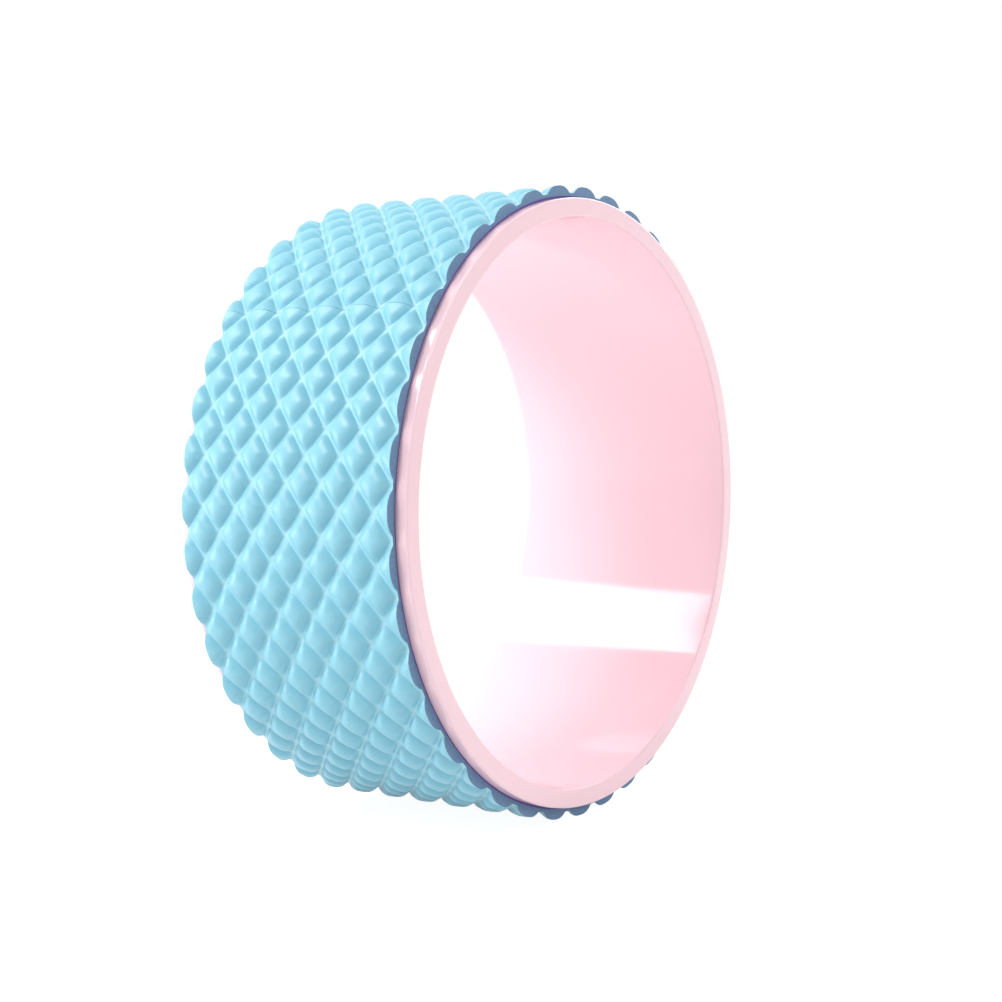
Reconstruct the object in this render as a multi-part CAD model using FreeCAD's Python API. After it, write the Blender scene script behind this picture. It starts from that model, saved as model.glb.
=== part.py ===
import FreeCAD, Part
import math
import os

# Yoga wheel: a rigid hoop with a studded mat glued round its outside.
# The wheel's axis lies along Y, its centre is the origin, and +Z is up.
# Angles run round the axis from +X towards +Z. Lengths are in millimetres.

# Whole wheel
wheel_diameter = 295.0  # over the stud tips
wheel_width = 125.0  # over the hoop's two faces

# Hoop
hoop_wall = 8.8
outer_bevel = 1.0  # at the outer corner of each face
inner_bevel = 0.9  # at each mouth of the opening
bare_lip = 5.3  # hoop left bare on each side of the mat

# Adhesive tape between the hoop and the mat
tape_thickness = 0.7
tape_clearance = 0.1  # between the tape and each of the two faces that it joins
tape_setback = 0.3  # the tape stops this far short of the mat's sides
tape_end_gap = 3.0  # between the tape's two ends, under the mat's seam

# Mat: one moulded strip, wrapped round the hoop and butted end to end
mat_base = 1.5  # thickness under the grooves
stud_height = 3.4  # stud tips above the grooves
seam_gap = 0.3  # between the strip's two ends, on the tape
seam_angle_deg = 141.75  # where the ends meet; it sets two rows of studs level on the floor
studs_around = 40  # in each of the two staggered sets of rows
studs_across = 6  # whole studs in a row of the inner set
dome_shares = (1.0, 0.8, 0.45)  # half-width of each facet ring, groove to crown, as a share of the stud's
dome_power = 2.5  # how round the dome is: 2 is a parabola, more is fuller at the shoulders

# Radii, from the stud tips inwards
tip_radius = wheel_diameter / 2
groove_radius = tip_radius - stud_height
mat_radius = groove_radius - mat_base
tape_radius = mat_radius - tape_clearance - tape_thickness
hoop_radius = tape_radius - tape_clearance
opening_radius = hoop_radius - hoop_wall

# Widths along the axis
mat_width = wheel_width - 2 * bare_lip
tape_width = mat_width - 2 * tape_setback

# The strip's two ends and the studs' pitch along it and across it
full_turn = 2 * math.pi
seam_angle = math.radians(seam_angle_deg)
strip_start = seam_angle + seam_gap / mat_radius / 2
strip_end = seam_angle + full_turn - seam_gap / mat_radius / 2
row_pitch = (strip_end - strip_start) / studs_around
stud_pitch = mat_width / studs_across

centre = FreeCAD.Vector(0, 0, 0)
axle = FreeCAD.Vector(0, 1, 0)


def on_wheel(radius, angle, y):
    """The point at a radius and an angle round the axis, y along it."""
    return FreeCAD.Vector(radius * math.cos(angle), y, radius * math.sin(angle))


def closed_face(points):
    """A flat face inside the closed outline through these points."""
    return Part.Face(Part.makePolygon(points + points[:1]))


def hoop():
    """The rigid hoop: one bevelled profile turned about the axis."""
    half = wheel_width / 2
    half_profile = [
        (opening_radius, half - inner_bevel),
        (opening_radius + inner_bevel, half),
        (hoop_radius - outer_bevel, half),
        (hoop_radius, half - outer_bevel),
    ]
    far_side = [(radius, -y) for radius, y in reversed(half_profile)]
    outline = [on_wheel(radius, 0, y) for radius, y in half_profile + far_side]
    return closed_face(outline).revolve(centre, axle, 360)


def adhesive_tape():
    """The tape that holds the mat: a thin strip round the hoop, open under the mat's seam."""
    half = tape_width / 2
    start = seam_angle + tape_end_gap / mat_radius / 2
    sweep = full_turn - tape_end_gap / mat_radius
    outside = tape_radius + tape_thickness
    corners = [(tape_radius, -half), (outside, -half), (outside, half), (tape_radius, half)]
    section = closed_face([on_wheel(radius, start, y) for radius, y in corners])
    return section.revolve(centre, -axle, math.degrees(sweep))


def ring_points(share):
    """Corners of a stud's facet ring: its height along the stud, and the sag of the two on the circle.

    The dome is whole at the centre and nothing at the groove. The sag grows with the ring, so that the
    four corners of every facet stay in one plane on the curved mat.
    """
    crown = groove_radius + stud_height * (1 - share ** dome_power)
    sag = groove_radius * (1 - math.cos(row_pitch / 2)) * share
    reach = groove_radius * math.sin(row_pitch / 2) * share
    return crown, sag, reach


def corner_round(share, way):
    """A ring's corner on the circle, on the side that way gives: 1 with the angle, -1 against it."""
    crown, sag, reach = ring_points(share)
    return FreeCAD.Vector(crown - sag, 0, way * reach)


def corner_across(share, side):
    """A ring's corner across the mat, on the side that side gives: 1 towards +Y, -1 towards -Y."""
    crown, sag, reach = ring_points(share)
    return FreeCAD.Vector(crown, side * share * stud_pitch / 2, 0)


def stud_quarter(way, side):
    """One quarter of a stud at angle 0, y 0: a facet between each two rings, and one up to the tip."""
    tip = FreeCAD.Vector(tip_radius, 0, 0)
    faces = []
    for low, high in zip(dome_shares, dome_shares[1:]):
        outline = [corner_round(low, way), corner_across(low, side)]
        outline += [corner_across(high, side), corner_round(high, way)]
        faces.append(closed_face(outline))
    crown_ring = dome_shares[-1]
    faces.append(closed_face([corner_round(crown_ring, way), corner_across(crown_ring, side), tip]))
    return Part.makeCompound(faces)


def stud_place(angle, y):
    """The placement that carries a stud from angle 0, y 0 to its place on the mat."""
    turn = FreeCAD.Rotation(-axle, math.degrees(angle))
    return FreeCAD.Placement(FreeCAD.Vector(0, y, 0), turn)


def edge_rows():
    """Angles of the rows that the strip's ends and sides cut through the middle of their outer studs."""
    return [strip_start + row * row_pitch for row in range(studs_around + 1)]


def edge_columns():
    """Places across the mat of the studs in those rows; the first and last lie on the mat's sides."""
    return [column * stud_pitch - mat_width / 2 for column in range(studs_across + 1)]


def tread():
    """All the studs' facets: whole studs, halves on the mat's sides and ends, and quarters on its corners."""
    quarters = {(way, side): stud_quarter(way, side) for way in (-1, 1) for side in (-1, 1)}
    faces = []

    def add_stud(angle, y, ways, sides):
        for way in ways:
            for side in sides:
                quarter = quarters[way, side].copy()
                quarter.Placement = stud_place(angle, y)
                faces.extend(quarter.Faces)

    for row, angle in enumerate(edge_rows()):
        ways = [way for way, end in ((-1, 0), (1, studs_around)) if row != end]
        for column, y in enumerate(edge_columns()):
            sides = [side for side, end in ((-1, 0), (1, studs_across)) if column != end]
            add_stud(angle, y, ways, sides)
    for angle in edge_rows()[:-1]:
        for y in edge_columns()[:-1]:
            add_stud(angle + row_pitch / 2, y + stud_pitch / 2, (-1, 1), (-1, 1))
    return faces


def cut_line(places, corner):
    """The outline of a row of studs cut through their tips, from the first stud's tip to the last one's."""
    tip = FreeCAD.Vector(tip_radius, 0, 0)
    rising = dome_shares[1:]
    points = []
    for index, place in enumerate(places):
        if index > 0:
            points += [place.multVec(corner(share, -1)) for share in rising]
        points.append(place.multVec(tip))
        if index < len(places) - 1:
            points += [place.multVec(corner(share, 1)) for share in reversed(rising)]
            points.append(place.multVec(corner(dome_shares[0], 1)))
    return points


def underside_arcs(y, count=3):
    """The mat's underside at y, as arcs from the strip's end back to its start."""
    span = (strip_start - strip_end) / count
    arcs = []
    for index in range(count):
        angles = [strip_end + span * (index + part) for part in (0, 0.5, 1)]
        arcs.append(Part.Arc(*[on_wheel(mat_radius, angle, y) for angle in angles]).toShape())
    return arcs


def mat_side(y):
    """The mat's cut side: scalloped by the half studs outside, round where it lies on the tape."""
    scallops = cut_line([stud_place(angle, y) for angle in edge_rows()], corner_round)
    first = on_wheel(mat_radius, strip_start, y)
    last = on_wheel(mat_radius, strip_end, y)
    edges = Part.makePolygon([first] + scallops + [last]).Edges
    return Part.Face(Part.Wire(edges + underside_arcs(y)))


def mat_end(angle):
    """The strip's end at the seam: cut across through a row of studs."""
    outline = cut_line([stud_place(angle, y) for y in edge_columns()], corner_across)
    outline.append(on_wheel(mat_radius, angle, mat_width / 2))
    outline.append(on_wheel(mat_radius, angle, -mat_width / 2))
    return closed_face(outline)


def tread_mat():
    """The studded mat: its tread, cut sides, butted ends and underside, sewn into one solid."""
    half = mat_width / 2
    faces = tread()
    faces += [mat_side(-half), mat_side(half)]
    faces += [mat_end(strip_start), mat_end(strip_end)]
    faces += [arc.extrude(axle * mat_width) for arc in underside_arcs(-half)]
    mat = Part.Solid(Part.Shell(faces))
    if mat.Volume < 0:
        mat.reverse()
    return mat


pieces = {
    "hoop": hoop(),
    "adhesive_tape": adhesive_tape(),
    "tread_mat": tread_mat(),
}

os.makedirs("parts", exist_ok=True)
for name, shape in pieces.items():
    shape.exportStep("parts/" + name + ".step")
    print(name, len(shape.Solids), "solid", shape.isValid(), round(shape.Volume), "mm3")
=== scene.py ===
import bpy
import numpy as np
from mathutils import Matrix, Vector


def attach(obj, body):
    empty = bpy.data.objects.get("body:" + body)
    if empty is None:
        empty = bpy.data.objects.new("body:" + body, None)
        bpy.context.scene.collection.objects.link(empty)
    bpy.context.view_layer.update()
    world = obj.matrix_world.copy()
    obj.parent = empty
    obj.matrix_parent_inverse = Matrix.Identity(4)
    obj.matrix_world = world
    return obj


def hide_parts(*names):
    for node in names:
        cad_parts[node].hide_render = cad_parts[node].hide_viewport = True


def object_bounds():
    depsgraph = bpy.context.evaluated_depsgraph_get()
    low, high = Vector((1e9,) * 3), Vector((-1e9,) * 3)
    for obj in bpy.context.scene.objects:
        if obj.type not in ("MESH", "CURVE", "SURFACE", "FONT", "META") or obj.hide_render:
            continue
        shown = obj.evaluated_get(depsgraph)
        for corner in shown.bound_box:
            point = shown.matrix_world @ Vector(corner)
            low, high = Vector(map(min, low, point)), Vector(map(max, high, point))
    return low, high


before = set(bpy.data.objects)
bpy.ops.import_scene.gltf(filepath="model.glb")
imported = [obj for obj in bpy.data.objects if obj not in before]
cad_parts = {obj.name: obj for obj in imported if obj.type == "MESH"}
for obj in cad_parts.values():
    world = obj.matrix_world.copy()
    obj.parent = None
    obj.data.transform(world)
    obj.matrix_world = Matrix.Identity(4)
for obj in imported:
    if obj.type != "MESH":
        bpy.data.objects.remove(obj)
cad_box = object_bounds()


# Hoop: the rigid ring that carries everything, pale pink gloss plastic, moulded in one piece.
# Its inner wall is polished and its faces are flat. The outer corners and the mouths of the
# opening are eased by a small round.

hoop_mouth_round = 0.0009
hoop_face_round = 0.0010
hoop_turn_steps = 480
hoop_corner_steps = 6
flat_support = 1.3  # where a flat is held beside a corner, in rounds of that corner
hoop_pink = (0.980, 0.705, 0.770, 1.0)
hoop_pink_deep = (0.975, 0.680, 0.748, 1.0)
hoop_tint_span = (0.35, 0.65)
hoop_roughness = (0.07, 0.11)
hoop_ior = 1.5
grain_detail = 3.0
mottle_detail = 2.0
mottle_span = (0.3, 0.7)  # the values that a mottle mostly keeps to


def node_reach(name):
    """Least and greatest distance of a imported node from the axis, and half its width along it."""
    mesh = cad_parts[name].data
    points = np.empty(len(mesh.vertices) * 3, np.float32)
    mesh.vertices.foreach_get("co", points)
    points = points.reshape(-1, 3).astype(float)
    radius = np.hypot(points[:, 0], points[:, 2])
    return radius.min(), radius.max(), np.abs(points[:, 1]).max()


def eased_outline(corners, rounds, steps):
    """A closed outline of square corners, each eased by a quarter circle.

    At a corner C, with unit directions p to the last corner and n to the next, the arc is
    C + r (p + n) - r (n cos t + p sin t) for t from 0 to a quarter turn. One more point a short
    way along each side keeps the flats flat under smooth shading.
    """
    corners = np.array(corners)
    rounds = np.array(rounds)[:, None, None]
    last = np.roll(corners, 1, axis=0) - corners
    ahead = np.roll(corners, -1, axis=0) - corners
    last = (last / np.linalg.norm(last, axis=1)[:, None])[:, None]
    ahead = (ahead / np.linalg.norm(ahead, axis=1)[:, None])[:, None]
    corners = corners[:, None]
    t = np.linspace(0.0, np.pi / 2, steps)[None, :, None]
    arc = corners + rounds * (last + ahead - ahead * np.cos(t) - last * np.sin(t))
    support = flat_support * rounds
    outline = np.concatenate([corners + support * last, arc, corners + support * ahead], axis=1)
    return outline.reshape(-1, 2)


def around_axis(radius, y, angle):
    """Points at a radius and an angle round the axis, the angle from +X towards +Z, and y along it."""
    radius, y, angle = np.broadcast_arrays(radius, y, angle)
    return np.stack([radius * np.cos(angle), y, radius * np.sin(angle)], axis=-1)


def grid_faces(rows, columns, close_rows, close_columns):
    """Four-cornered faces between a grid's neighbouring points, closed on itself where asked."""
    i = np.arange(rows if close_rows else rows - 1)[:, None]
    j = np.arange(columns if close_columns else columns - 1)[None, :]
    i_next = (i + 1) % rows
    j_next = (j + 1) % columns
    corners = [i * columns + j, i_next * columns + j, i_next * columns + j_next, i * columns + j_next]
    return np.stack(np.broadcast_arrays(*corners), axis=-1).reshape(-1, 4)


def fan_triangles(faces):
    """The triangles of a stack of faces, each face fanned from its first corner."""
    return np.concatenate([faces[:, [0, k, k + 1]] for k in range(1, faces.shape[1] - 1)])


def outward(points, triangles):
    """True where a closed skin faces outwards: the sum of its triangles' determinants is positive."""
    a, b, c = (points[triangles[:, k]] for k in range(3))
    return np.einsum("ij,ij->", a, np.cross(b, c)) > 0


def new_piece(name, points, faces):
    """A mesh object at the origin, smooth shaded, from points and lists of faces."""
    mesh = bpy.data.meshes.new(name)
    mesh.from_pydata(points.tolist(), [], faces)
    mesh.polygons.foreach_set("use_smooth", np.ones(len(mesh.polygons), bool))
    mesh.validate()
    mesh.update()
    piece = bpy.data.objects.new(name, mesh)
    bpy.context.scene.collection.objects.link(piece)
    return piece


def moulding_grain():
    """The unevenness of a moulded skin: a small grain for relief and a broad, faint mottle."""
    group = bpy.data.node_groups.new("moulding_grain", "ShaderNodeTree")
    face = group.interface
    face.new_socket("Place", in_out="INPUT", socket_type="NodeSocketVector")
    entry = group.nodes.new("NodeGroupInput")
    leave = group.nodes.new("NodeGroupOutput")
    layers = (("Grain per metre", "Relief", grain_detail), ("Mottle per metre", "Mottle", mottle_detail))
    for scale, result, detail in layers:
        face.new_socket(scale, in_out="INPUT", socket_type="NodeSocketFloat")
        face.new_socket(result, in_out="OUTPUT", socket_type="NodeSocketFloat")
        noise = group.nodes.new("ShaderNodeTexNoise")
        noise.inputs["Detail"].default_value = detail
        group.links.new(entry.outputs["Place"], noise.inputs["Vector"])
        group.links.new(entry.outputs[scale], noise.inputs["Scale"])
        group.links.new(noise.outputs["Fac"], leave.inputs[result])
    return group


grain_group = moulding_grain()


def shader_of(material):
    """The Principled shader of a material."""
    return material.node_tree.nodes["Principled BSDF"]


def moulded_finish(name, grain_per_metre, mottle_per_metre, relief, relief_metres):
    """A new material whose grain bumps its normal, and the socket of its mottle."""
    material = bpy.data.materials.new(name)
    material.use_nodes = True
    nodes = material.node_tree.nodes
    links = material.node_tree.links
    place = nodes.new("ShaderNodeTexCoord")
    grain = nodes.new("ShaderNodeGroup")
    grain.node_tree = grain_group
    grain.inputs["Grain per metre"].default_value = grain_per_metre
    grain.inputs["Mottle per metre"].default_value = mottle_per_metre
    links.new(place.outputs["Object"], grain.inputs["Place"])
    bump = nodes.new("ShaderNodeBump")
    bump.inputs["Strength"].default_value = relief
    bump.inputs["Distance"].default_value = relief_metres
    links.new(grain.outputs["Relief"], bump.inputs["Height"])
    links.new(bump.outputs["Normal"], shader_of(material).inputs["Normal"])
    return material, grain.outputs["Mottle"]


def tint_by(material, source, low, high, span):
    """Colours a material from low to high while the source's value runs over a span."""
    ramp = material.node_tree.nodes.new("ShaderNodeValToRGB")
    for element, position, colour in zip(ramp.color_ramp.elements, span, (low, high)):
        element.position = position
        element.color = colour
    material.node_tree.links.new(source, ramp.inputs["Fac"])
    material.node_tree.links.new(ramp.outputs["Color"], shader_of(material).inputs["Base Color"])


def roughen_by(material, source, roughness, span):
    """Takes a material from the first roughness to the second while the source runs over a span."""
    level = material.node_tree.nodes.new("ShaderNodeMapRange")
    level.inputs["From Min"].default_value, level.inputs["From Max"].default_value = span
    level.inputs["To Min"].default_value, level.inputs["To Max"].default_value = roughness
    material.node_tree.links.new(source, level.inputs["Value"])
    material.node_tree.links.new(level.outputs["Result"], shader_of(material).inputs["Roughness"])


opening_radius, hoop_radius, half_width = node_reach("hoop")
hoop_corners = [
    (opening_radius, half_width), (hoop_radius, half_width),
    (hoop_radius, -half_width), (opening_radius, -half_width),
]
hoop_rounds = [hoop_mouth_round, hoop_face_round, hoop_face_round, hoop_mouth_round]
hoop_outline = eased_outline(hoop_corners, hoop_rounds, hoop_corner_steps)
turn = np.linspace(0.0, 2 * np.pi, hoop_turn_steps, endpoint=False)[:, None]
hoop_points = around_axis(hoop_outline[None, :, 0], hoop_outline[None, :, 1], turn).reshape(-1, 3)
hoop_faces = grid_faces(hoop_turn_steps, len(hoop_outline), True, True)
if not outward(hoop_points, fan_triangles(hoop_faces)):
    hoop_faces = hoop_faces[:, ::-1]
hoop = new_piece("hoop_shell", hoop_points, hoop_faces.tolist())

hoop_finish, mottle = moulded_finish(
    "hoop_gloss_pink", grain_per_metre=140.0, mottle_per_metre=9.0, relief=0.06, relief_metres=0.0004)
tint_by(hoop_finish, mottle, hoop_pink_deep, hoop_pink, hoop_tint_span)
roughen_by(hoop_finish, mottle, hoop_roughness, mottle_span)
shader_of(hoop_finish).inputs["IOR"].default_value = hoop_ior
hoop.data.materials.append(hoop_finish)
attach(hoop, "root")
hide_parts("hoop")


# Adhesive tape: the thin double-sided tape that holds the mat on the hoop. Only its edge shows,
# along the foot of the mat's cut sides, so the imported strip stays and gets a matt, dark
# blue-violet look. That dark colour is painted shade: it stands for the shadow line at the mat's foot.

# The tape is real, but its dark blue-violet is painted shade: the shadow line at the foot of the mat.
tape_shade_violet = (0.100, 0.050, 0.330, 1.0)
tape_shade_violet_pale = (0.130, 0.070, 0.400, 1.0)
tape_roughness = 0.55

tape_finish, mottle = moulded_finish(
    "tape_shade_violet", grain_per_metre=900.0, mottle_per_metre=120.0, relief=0.3, relief_metres=0.0002)
# Painted shade: the tape's dark violet, mottled a little.
tint_by(tape_finish, mottle, tape_shade_violet, tape_shade_violet_pale, mottle_span)
shader_of(tape_finish).inputs["Roughness"].default_value = tape_roughness
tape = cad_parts["adhesive_tape"]
tape.data.materials.clear()
tape.data.materials.append(tape_finish)


# Tread mat: one strip of light blue foam rubber, moulded with staggered diamond studs.
# It is cut to length and width through the middle of its outer studs, wrapped round the hoop on
# the tape and butted end to end, which leaves a straight seam across the tread.

stud_rise = 0.0034
studs_around = 40
studs_across = 6
stud_rings = np.array([0.0, 0.25, 0.48, 0.68, 0.82, 0.90, 0.95, 1.0])
stud_steps = 6
stud_edge = 0.95
stud_corner_power = 5.0
stud_dome_power = 3.0
seam_angle = np.radians(141.75)
seam_gap = 0.00012
side_steps = 3
under_steps = 3
same_place = 1e-6  # places nearer than this, in half studs, are one
crease_angle = np.radians(70.0)
mat_blue = (0.236, 0.560, 0.688, 1.0)
# The groove floors are painted paler than the studs: painted light for the bright lines along the
# grooves.
mat_blue_groove_painted_light = (0.326, 0.655, 0.765, 1.0)
groove_light_span = (0.0, 0.12)  # in shares of a stud's rise
mat_roughness = (0.39, 0.47)
mat_ior = 1.6
# The cut sides are the same foam as the tread. Their darker, more violet blue is painted shade.
cut_shade_blue = (0.108, 0.212, 0.362, 1.0)
cut_shade_blue_pale = (0.142, 0.262, 0.425, 1.0)
cut_roughness = 0.6


def stud_lift(u, v):
    """Height share of the tread at u half studs along the strip and v half studs across it.

    Grooves run where u + v or u - v is odd, and a stud's middle is where both are even. With a and
    b the distances of u + v and u - v from their nearest even numbers, the distance from the middle
    is s = (|a|^p + |b|^p)^(1/p), a diamond with eased corners. Inside its edge the lift is
    1 - (s / edge)^k.
    """
    a = np.abs(u + v - 2.0 * np.round((u + v) / 2.0))
    b = np.abs(u - v - 2.0 * np.round((u - v) / 2.0))
    s = (a ** stud_corner_power + b ** stud_corner_power) ** (1.0 / stud_corner_power)
    return 1.0 - np.minimum(s / stud_edge, 1.0) ** stud_dome_power


def quarter_studs(length, width):
    """Grids (u, v, 0) over every quarter stud on the strip, and which way round each one runs.

    From a stud's middle (p, q), the quarter facing x = +-1, y = +-1 is u = p + x s (1 + t) / 2 and
    v = q + y s (1 - t) / 2, with s the ring's share of the way to the groove and t from -1 to 1
    along it.
    """
    p, q = np.meshgrid(np.arange(length + 1), np.arange(width + 1), indexing="ij")
    middles = np.stack([p, q], axis=-1)[(p + q) % 2 == 0]
    facing = np.array([(1, 1), (-1, 1), (-1, -1), (1, -1)])
    reach = middles[:, None] + facing[None]
    stud, way = ((reach >= 0) & (reach <= (length, width))).all(axis=-1).nonzero()
    middle = middles[stud][:, :, None, None]
    face = facing[way][:, :, None, None]
    s = stud_rings[:, None]
    t = np.linspace(-1.0, 1.0, stud_steps + 1)[None, :]
    u = middle[:, 0] + face[:, 0] * (s * (1.0 + t) / 2.0)
    v = middle[:, 1] + face[:, 1] * (s * (1.0 - t) / 2.0)
    return np.stack([u, v, np.zeros_like(u)], axis=-1), facing[way].prod(axis=1) > 0


def cut_stations(span):
    """Places along a cut through a row of studs, where the rings on both sides of it cross it."""
    after = np.arange(0, span, 2)[:, None] + stud_rings
    before = np.arange(2, span + 1, 2)[:, None] - stud_rings
    return np.unique(np.round(np.concatenate([after, before]), 9))


def place_grid(along, across, down):
    """The places (u, v, w) of a grid over three lists, one after another."""
    return np.stack(np.meshgrid(along, across, down, indexing="ij"), axis=-1).reshape(-1, 3)


def joined(places, faces):
    """One list of places without repeats, and the faces renumbered to it."""
    keys = np.round(places / same_place).astype(np.int64)
    first, index = np.unique(keys, axis=0, return_index=True, return_inverse=True)[1:]
    index = index.ravel()
    return places[first], [index[part] for part in faces]


mat_radius, tip_radius, half_mat = node_reach("tread_mat")
groove_radius = tip_radius - stud_rise
length = 2 * studs_around
width = 2 * studs_across

# The tread: a fan of triangles about each stud's middle, then four-cornered faces to the groove.
quarters, straight = quarter_studs(length, width)
count, rings, steps = quarters.shape[:3]
number = np.arange(count * rings * steps).reshape(count, rings, steps)
inner = number[:, 1:-1]
outer = number[:, 2:]
fans = np.stack([number[:, 0, :-1], number[:, 1, :-1], number[:, 1, 1:]], axis=-1)
bands = np.stack([inner[..., :-1], outer[..., :-1], outer[..., 1:], inner[..., 1:]], axis=-1)
fans[~straight] = fans[~straight][..., ::-1]
bands[~straight] = bands[~straight][..., ::-1]
places = [quarters.reshape(-1, 3)]
parts = [fans.reshape(-1, 3), bands.reshape(-1, 4)]

# The cut sides and the underside: grids (u, v, w) with w the share of the way down to the tape.
along = cut_stations(length)
across = cut_stations(width)
down = np.linspace(0.0, 1.0, side_steps + 1)
under = np.linspace(0.0, width, under_steps + 1)
skins = [
    (place_grid(along, [0.0], down), len(down), True),
    (place_grid(along, [width], down), len(down), False),
    (place_grid(along, under, [1.0]), len(under), True),
]
for grid, columns, flip in skins:
    skin = grid_faces(len(along), columns, False, False) + sum(len(part) for part in places)
    parts.append(skin[:, ::-1] if flip else skin)
    places.append(grid)

# The two ends at the seam: one face each, along the studs' cut outline and round the section.
ring_v = np.concatenate([across, np.full(side_steps, width), under[-2:0:-1], np.zeros(side_steps)])
ring_w = np.concatenate([np.zeros(len(across)), down[1:], np.ones(under_steps - 1), down[:0:-1]])
for end, flip in ((0.0, False), (length, True)):
    ring = np.stack([np.full(len(ring_v), end), ring_v, ring_w], axis=-1)
    ring_face = np.arange(len(ring)) + sum(len(part) for part in places)
    parts.append((ring_face[::-1] if flip else ring_face)[None])
    places.append(ring)

places, parts = joined(np.concatenate(places), parts)
u, v, w = places.T
lift = stud_lift(u, v)
half_slit = seam_gap / mat_radius / 2
angle = seam_angle + half_slit + (2 * np.pi - 2 * half_slit) * u / length
radius = groove_radius + stud_rise * lift
radius += (mat_radius - radius) * w
mat_points = around_axis(radius, half_mat * (2.0 * v / width - 1.0), angle)
tread_count = len(parts[0]) + len(parts[1])
if not outward(mat_points, np.concatenate([fan_triangles(part) for part in parts])):
    parts = [part[:, ::-1] for part in parts]
mat = new_piece("studded_mat", mat_points, [face for part in parts for face in part.tolist()])
mat.data.set_sharp_from_angle(angle=crease_angle)
rise = mat.data.attributes.new("stud_lift", "FLOAT", "POINT")
rise.data.foreach_set("value", (lift * (w == 0.0)).astype(np.float32))

tread_finish, mottle = moulded_finish(
    "mat_tread_blue", grain_per_metre=1500.0, mottle_per_metre=25.0, relief=0.12, relief_metres=0.0003)
height = tread_finish.node_tree.nodes.new("ShaderNodeAttribute")
height.attribute_name = "stud_lift"
# Painted light: the paler groove floors stand for the bright lines that the light lays along the grooves.
tint_by(tread_finish, height.outputs["Fac"], mat_blue_groove_painted_light, mat_blue, groove_light_span)
roughen_by(tread_finish, mottle, mat_roughness, mottle_span)
shader_of(tread_finish).inputs["IOR"].default_value = mat_ior

# Painted shade: the cut sides' foam is drawn darker and more violet than the tread's.
cut_finish, mottle = moulded_finish(
    "mat_cut_foam_painted_shade", grain_per_metre=2600.0, mottle_per_metre=700.0, relief=0.5, relief_metres=0.0004)
tint_by(cut_finish, mottle, cut_shade_blue, cut_shade_blue_pale, mottle_span)
shader_of(cut_finish).inputs["Roughness"].default_value = cut_roughness

mat.data.materials.append(tread_finish)
mat.data.materials.append(cut_finish)
finish_index = np.ones(len(mat.data.polygons), np.int32)
finish_index[:tread_count] = 0
mat.data.polygons.foreach_set("material_index", finish_index)
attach(mat, "root")
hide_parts("tread_mat")


# Floor and surroundings: a flat white floor under the wheel and a white room round it.
# The floor shows white to the eye and keeps the wheel's soft shadow.

white = (1.0, 1.0, 1.0, 1.0)
floor_half_size = 6.0
floor_white = (0.85, 0.85, 0.85, 1.0)
floor_roughness = 0.9
floor_glow = 1.45
floor_shadow_share = 0.36
room_light = 0.30


def seen_directly(tree):
    """A socket that is 1 for camera, mirrored and refracted rays, and 0 for the light on things."""
    path = tree.nodes.new("ShaderNodeLightPath")
    seen = path.outputs["Is Camera Ray"]
    for kind in ("Is Glossy Ray", "Is Transmission Ray"):
        either = tree.nodes.new("ShaderNodeMath")
        either.operation = "MAXIMUM"
        tree.links.new(seen, either.inputs[0])
        tree.links.new(path.outputs[kind], either.inputs[1])
        seen = either.outputs[0]
    return seen


floor_z = cad_box[0][2]
floor_corners = floor_half_size * np.array([[-1, -1, 0], [1, -1, 0], [1, 1, 0], [-1, 1, 0]], float)
floor = new_piece("floor", floor_corners + np.array([0.0, 0.0, floor_z]), [[0, 1, 2, 3]])
floor_finish = bpy.data.materials.new("floor_white")
floor_finish.use_nodes = True
nodes = floor_finish.node_tree.nodes
links = floor_finish.node_tree.links
matte = shader_of(floor_finish)
matte.inputs["Base Color"].default_value = floor_white
matte.inputs["Roughness"].default_value = floor_roughness
matte.inputs["Specular IOR Level"].default_value = 0.0
glow = nodes.new("ShaderNodeEmission")
glow.inputs["Color"].default_value = white
glow.inputs["Strength"].default_value = floor_glow
glow_share = nodes.new("ShaderNodeMath")
glow_share.operation = "MULTIPLY"
glow_share.inputs[1].default_value = 1.0 - floor_shadow_share
links.new(seen_directly(floor_finish.node_tree), glow_share.inputs[0])
blend = nodes.new("ShaderNodeMixShader")
links.new(glow_share.outputs[0], blend.inputs["Fac"])
links.new(matte.outputs["BSDF"], blend.inputs[1])
links.new(glow.outputs["Emission"], blend.inputs[2])
links.new(blend.outputs["Shader"], nodes["Material Output"].inputs["Surface"])
floor.data.materials.append(floor_finish)

room = bpy.data.worlds.new("white_room")
bpy.context.scene.world = room
room.use_nodes = True
level = room.node_tree.nodes.new("ShaderNodeMapRange")
level.inputs["To Min"].default_value = room_light
level.inputs["To Max"].default_value = 1.0
backdrop = room.node_tree.nodes["Background"]
backdrop.inputs["Color"].default_value = white
room.node_tree.links.new(seen_directly(room.node_tree), level.inputs["Value"])
room.node_tree.links.new(level.outputs["Result"], backdrop.inputs["Strength"])


# Lamps: soft boxes at plain studio level. The narrow one, high behind on the left, lays the white
# band on the inner wall, and the main one, high on the left, shades the studs. The others fill the
# inside of the hoop, its faces and the far side of the tread.

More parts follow.
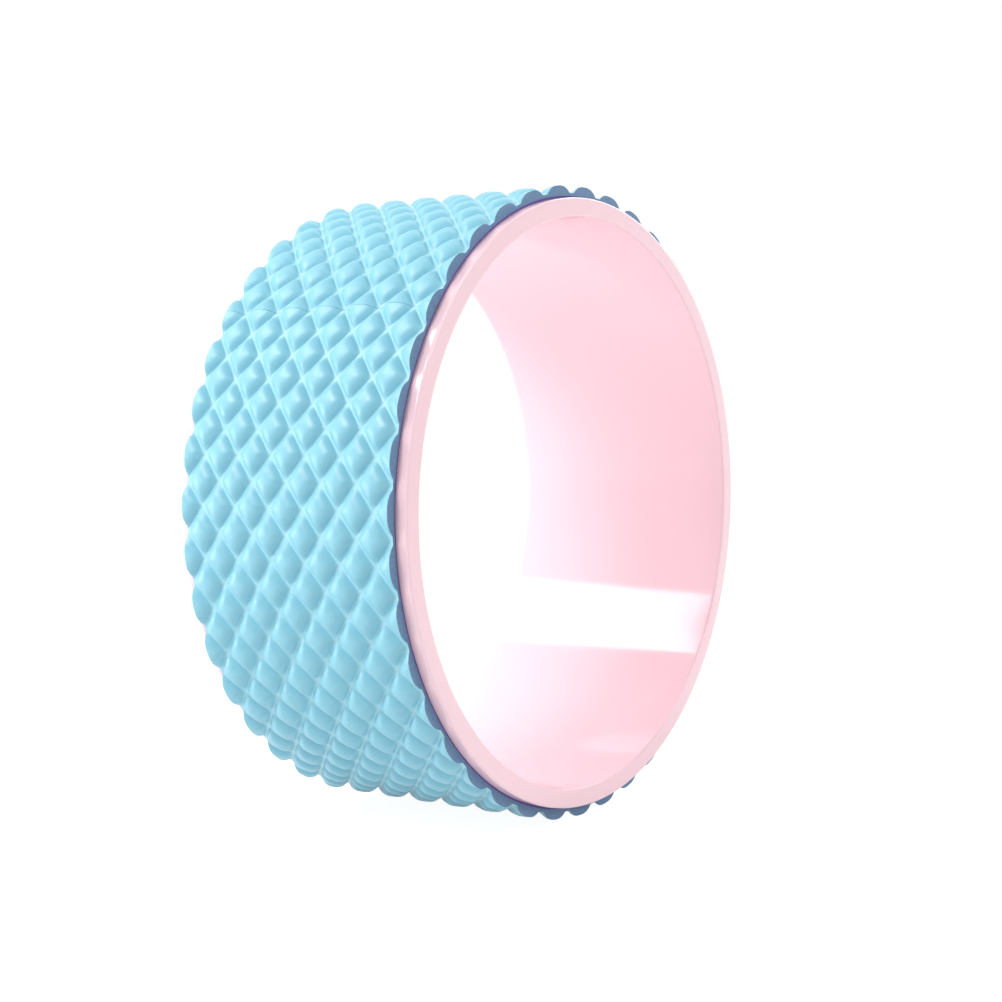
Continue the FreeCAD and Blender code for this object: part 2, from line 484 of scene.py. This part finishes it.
def soft_box(name, place, size, watts):
    """A rectangular lamp at a place, facing the wheel's centre, its width along the axis if it can be."""
    lamp = bpy.data.lights.new(name, "AREA")
    lamp.shape = "RECTANGLE"
    lamp.size, lamp.size_y = size
    lamp.energy = watts
    box = bpy.data.objects.new(name, lamp)
    bpy.context.scene.collection.objects.link(box)
    back = np.array(place) / np.linalg.norm(place)
    up = np.cross(back, (0.0, 1.0, 0.0))
    up /= np.linalg.norm(up)
    right = np.cross(up, back)
    facing = Matrix(np.stack([right, up, back], axis=1)).to_4x4()
    box.matrix_world = Matrix.Translation(place) @ facing
    return box


soft_box("band_box", place=(-0.545, 0.714, 0.880), size=(0.27, 0.56), watts=4.4)
soft_box("main_box", place=(-1.18, 0.30, 1.10), size=(0.50, 0.50), watts=13.4)
soft_box("rear_box", place=(-0.70, 0.97, 0.02), size=(0.4, 0.3), watts=4.0)
top_box = soft_box("top_box", place=(0.45, 0.74, 0.98), size=(0.9, 0.9), watts=5.5)
top_box.visible_glossy = False  # the polished wall doesn't mirror it
soft_box("front_box", place=(0.45, -1.50, 1.00), size=(0.9, 0.9), watts=14.0)
soft_box("side_box", place=(1.30, -0.10, 0.80), size=(0.9, 0.9), watts=7.0)


# Camera: at the photograph's place, a little above the wheel's centre and round to its left.
# Angles and distances are of the real camera about the wheel; the focal length is in image pixels.

camera_azimuth = np.radians(-55.26)
camera_elevation = np.radians(3.85)
camera_roll = np.radians(-0.95)
camera_distance = 0.850
camera_shift_right = 0.00873
camera_shift_up = -0.00033
image_pixels = 1002
focal_pixels = 1740.0
sensor_mm = 36.0

view_back = np.array([
    np.sin(camera_azimuth) * np.cos(camera_elevation),
    -np.cos(camera_azimuth) * np.cos(camera_elevation),
    np.sin(camera_elevation),
])
level_right = np.cross((0.0, 0.0, 1.0), view_back)
level_right /= np.linalg.norm(level_right)
level_up = np.cross(view_back, level_right)
view_right = np.cos(camera_roll) * level_right + np.sin(camera_roll) * level_up
view_up = np.cross(view_back, view_right)
eye = camera_distance * view_back + camera_shift_right * view_right + camera_shift_up * view_up
camera_data = bpy.data.cameras.new("camera")
camera_data.sensor_width = sensor_mm
camera_data.lens = focal_pixels * sensor_mm / image_pixels
camera = bpy.data.objects.new("camera", camera_data)
bpy.context.scene.collection.objects.link(camera)
turned = Matrix(np.stack([view_right, view_up, view_back], axis=1)).to_4x4()
camera.matrix_world = Matrix.Translation(eye) @ turned
bpy.context.scene.camera = camera
bpy.context.scene.view_settings.view_transform = "Standard"
